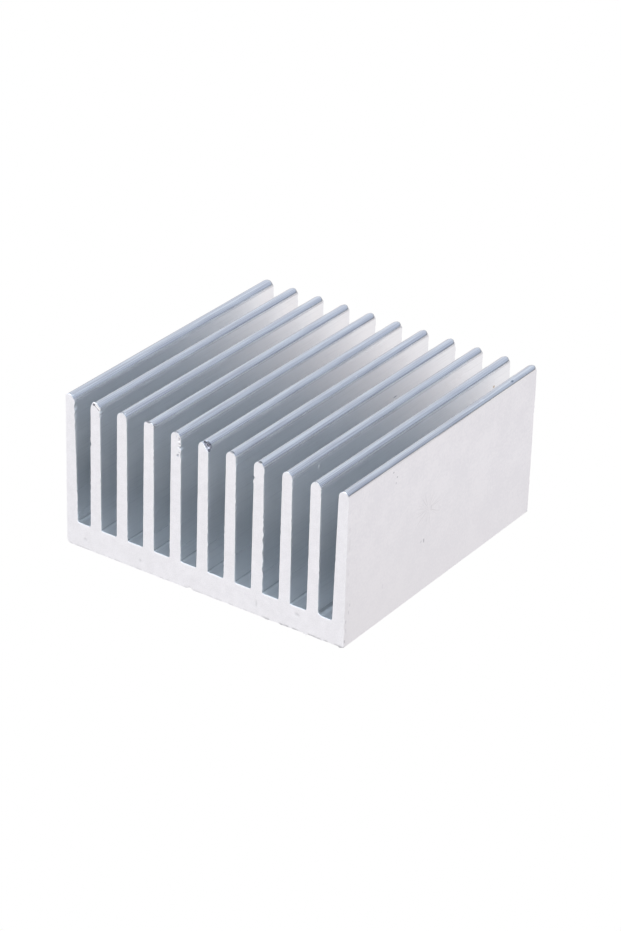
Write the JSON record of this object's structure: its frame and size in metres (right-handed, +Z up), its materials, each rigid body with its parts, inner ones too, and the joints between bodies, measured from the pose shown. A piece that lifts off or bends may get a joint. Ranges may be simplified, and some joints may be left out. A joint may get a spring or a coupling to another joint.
{
  "type": "extruded heat sink",
  "caption": "Square extruded aluminium heat sink with a flat base and a row of straight, slightly tapered parallel fins.",
  "frame": {"origin": "middle of the underside of the base", "axes": "+X across the fins, +Y along the extrusion, +Z up from the base towards the fin tips"},
  "size_m": [0.04, 0.04, 0.02],
  "materials": {
    "aluminium": "bare mill finish with fine die lines along the extrusion, satin, sawn pale ends"
  },
  "bodies": {
    "root": {"heat_sink": "aluminium"}
  },
  "joints": []
}
